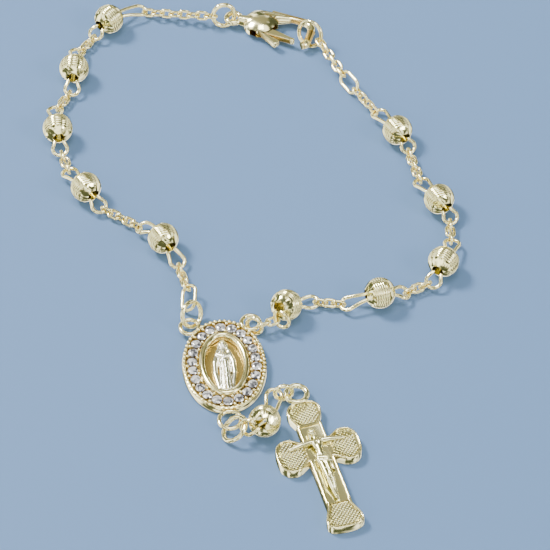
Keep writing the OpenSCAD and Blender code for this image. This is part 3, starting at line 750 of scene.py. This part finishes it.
# Wires round the four ends, and rails along the channel
def makeRims():
    s = crossSettings
    wires = []
    for end in s["ends"]:
        half = endEdge(end, s["rim"] / 2)
        outline = [(x, -y) for x, y in half] + list(reversed(half[:-1]))
        turn = Matrix.Rotation(math.radians(end[0]), 4, "Z")
        wires.append(wireAlong("rim", [turn @ Vector((x, y, s["top"])) for x, y in outline], s["beadWire"]))
    rail = (s["channelHalf"] + s["stemWidth"] / 2) / 2
    for side in (-1, 1):
        for low, high in ((-s["channelFoot"], -s["railGap"]), (s["railGap"], s["channelTop"])):
            stretch = [Vector((side * rail, y, s["top"])) for y in (low, high)]
            wires.append(wireAlong("rail", stretch, s["railWire"]))
    rims = joinAll("cross_rims", wires)
    bpy.ops.object.shade_smooth()
    placePiece(rims, mountPlace["cross_back"], turned["cross"])
    finishPiece(rims, metals["ringGold"], "bracelet")


def makeCross():
    s = crossSettings
    body = smoothNode("cross_body", "cross_polished", angle=s["smoothAngle"], bevel=s["bevel"])
    finishPiece(body, metals["crossGold"], "bracelet", ["cross_body"])
    print("pyramids:", makeKnurl())
    makeRims()


makeCross()
print("cross made")


# Floor, camera and studio light; places are in metres
studio = {
    "floorColour": (0.095, 0.175, 0.33), "floorSize": 4.0, "floorRough": 0.7, "floorShine": 0.3,
    "target": (0.00437, -0.00503, 0.0), "elevation": 50, "distance": 0.45,
    "focalPixels": 2790, "imagePixels": 550, "sensor": 36, "nearest": 0.02,
    "lights": [
        # name, place, size, power
        ("key", (-0.7, 0.5, 1.0), 0.3, 30),
        ("fill", (0.9, -0.5, 0.7), 0.3, 5),
        ("top", (0.0, 0.1, 1.3), 0.4, 8),
    ],
}


def makeFloor():
    s = studio
    bpy.ops.mesh.primitive_plane_add(size=s["floorSize"], location=(0, 0, 0))
    floor = bpy.context.object
    floor.name = "floor"
    shading = newMaterial("paleFloor")
    shading.set(Base_Color=(*s["floorColour"], 1), Roughness=s["floorRough"],
                Specular_IOR_Level=s["floorShine"])
    floor.data.materials.append(shading.owner)
    floor.visible_glossy = False


def makeCamera():
    s = studio
    lift = math.radians(s["elevation"])
    camera = bpy.data.objects.new("camera", bpy.data.cameras.new("camera"))
    bpy.context.scene.collection.objects.link(camera)
    camera.location = Vector(s["target"]) + s["distance"] * Vector((0, -math.cos(lift), math.sin(lift)))
    camera.rotation_euler = (math.pi / 2 - lift, 0, 0)
    camera.data.sensor_width = s["sensor"]
    camera.data.lens = s["sensor"] * s["focalPixels"] / s["imagePixels"]
    camera.data.clip_start = s["nearest"]
    bpy.context.scene.camera = camera


def makeLights():
    target = Vector(studio["target"])
    for name, place, size, power in studio["lights"]:
        data = bpy.data.lights.new(name, "AREA")
        data.size = size
        data.energy = power
        light = bpy.data.objects.new(name, data)
        bpy.context.scene.collection.objects.link(light)
        light.location = place
        light.rotation_euler = (target - Vector(place)).to_track_quat("-Z", "Y").to_euler()


# Sky: bright patches on a dark ground, brighter on the left, and a calm patch that level faces reflect
skyLook = {
    "dark": (0.035, 0.04, 0.025), "bright": (1.0, 1.0, 0.92), "scale": 2.6,
    "patches": ((0.49, (0, 0, 0)), (0.60, (1, 1, 1))), "leftward": 0.9, "strength": 3.4,
    "calm": (0.13, 0.125, 0.085), "calmToward": (0, 0.643, 0.766), "calmFrom": 0.90, "calmTo": 0.95,
}


def makeSky():
    look = skyLook
    world = bpy.data.worlds.new("studioSky")
    bpy.context.scene.world = world
    shading = Shading(world, "ShaderNodeBackground", "ShaderNodeOutputWorld")
    direction = shading.node("TexCoord", {}, "Generated")
    across = shading.node("SeparateXYZ", {}, "X", Vector=direction)
    cloud = shading.node("TexNoise", {}, "Fac", Vector=direction, Scale=look["scale"], Detail=1.0)
    patches = shading.node("ValToRGB", {"stops": look["patches"]}, "Color", Fac=cloud)
    clouds = shading.mixColour(patches, look["dark"], look["bright"])
    facing = shading.node("VectorMath", {"operation": "DOT_PRODUCT"}, "Value", n0=direction,
                          n1=look["calmToward"])
    calm = shading.node("MapRange", {}, "Result", **{"Value": facing, "From Min": look["calmFrom"],
                                                     "From Max": look["calmTo"]})
    colour = shading.mixColour(calm, clouds, look["calm"])
    shading.set(Color=colour, Strength=look["strength"] - across * look["leftward"])


makeFloor()
makeCamera()
makeLights()
makeSky()
print("studio made")
